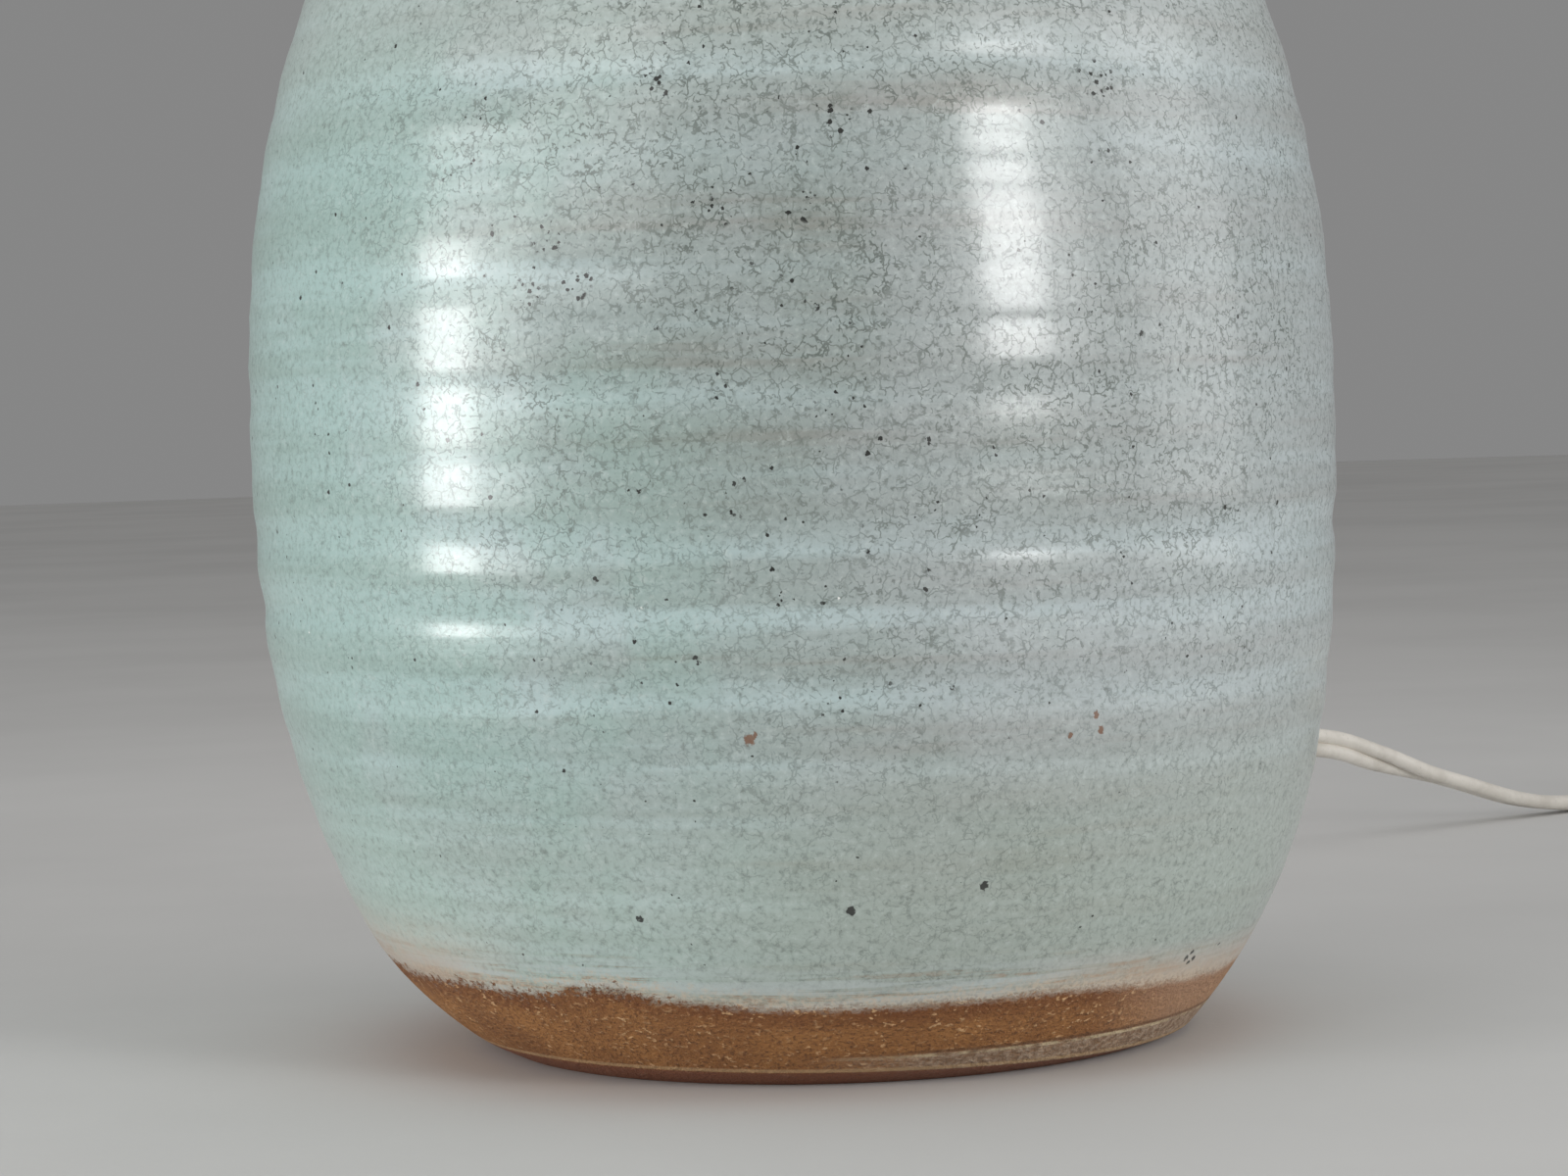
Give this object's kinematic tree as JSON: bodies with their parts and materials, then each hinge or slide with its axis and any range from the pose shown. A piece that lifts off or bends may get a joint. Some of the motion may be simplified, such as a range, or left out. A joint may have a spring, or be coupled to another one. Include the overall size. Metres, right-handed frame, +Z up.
{
  "type": "table lamp",
  "caption": "Table lamp with a hand-thrown, egg-shaped glazed stoneware body, a brass screw lampholder with a turn switch, a shade ring, a frosted bulb and a twin flex with a flat plug.",
  "frame": {"origin": "on the lamp's axis, on the surface that the foot stands on", "axes": "+Z up along the lamp's axis, -Y the front, +X the side of the switch knob; the flex leaves through the back, +Y"},
  "size_m": [0.4418, 0.4646, 0.4276],
  "materials": {
    "glazed_stoneware": "pale green-grey crackle glaze over brown stoneware, glossy",
    "brass": "lacquered and lightly aged",
    "steel": "zinc plated",
    "aluminium": "rolled sheet",
    "gasket_rubber": "matte",
    "relief_rubber": "matte",
    "flex_sheath": "satin moulded sheath",
    "plug_plastic": "moulded, fine texture on the grip",
    "tie_plastic": "matte strap",
    "phenolic": "polished moulding",
    "porcelain": "unglazed pressed porcelain",
    "fibre": "pressed fibre",
    "vitrite": "black cast glass",
    "opal_glass": "frosted white inside",
    "clear_glass": "clear",
    "tungsten": "drawn wire",
    "live_sleeve": "satin insulation",
    "neutral_sleeve": "satin insulation"
  },
  "bodies": {
    "base": {"ceramic_body": "glazed_stoneware", "neck_gasket": "gasket_rubber", "vase_cap": "brass", "neck_spool": "brass", "threaded_nipple": "steel", "toggle_bar": "steel", "lock_washer": "steel", "bar_nut": "steel", "lampholder_cap": "brass", "holder_set_screw": "steel", "lampholder_shell": "brass", "insulating_sleeve": "fibre", "switch_body": "porcelain", "screw_shell": "brass", "centre_contact": "brass", "terminal_screw_live": "brass", "terminal_screw_neutral": "steel", "inner_flex": "flex_sheath", "lead_live": "live_sleeve", "lead_neutral": "neutral_sleeve", "cord_strain_relief": "relief_rubber", "supply_cord": "flex_sheath", "cord_coil": "flex_sheath", "cord_tie": "tie_plastic", "plug_body": "plug_plastic", "plug_blade_left": "brass", "plug_blade_right": "brass"},
    "bulb": {"bulb_cap": "aluminium", "bulb_insulator": "vitrite", "bulb_contact": "steel", "bulb_glass": "opal_glass", "bulb_stem": "clear_glass", "bulb_filament": "tungsten"},
    "switch_key": {"switch_spindle": "steel", "switch_knob": "phenolic"},
    "ring": {"shade_ring": "phenolic"}
  },
  "joints": [
    {"name": "bulb_screw", "type": "hinge", "parent": "base", "child": "bulb", "pos_m": [0, 0, 0.3206], "axis": [0, 0, 1], "continuous": true},
    {"name": "switch_turn", "type": "hinge", "parent": "base", "child": "switch_key", "pos_m": [0, 0, 0.31073], "axis": [1, 0, 0], "continuous": true},
    {"name": "ring_screw", "type": "hinge", "parent": "base", "child": "ring", "pos_m": [0, 0, 0.32623], "axis": [0, 0, 1], "continuous": true}
  ]
}
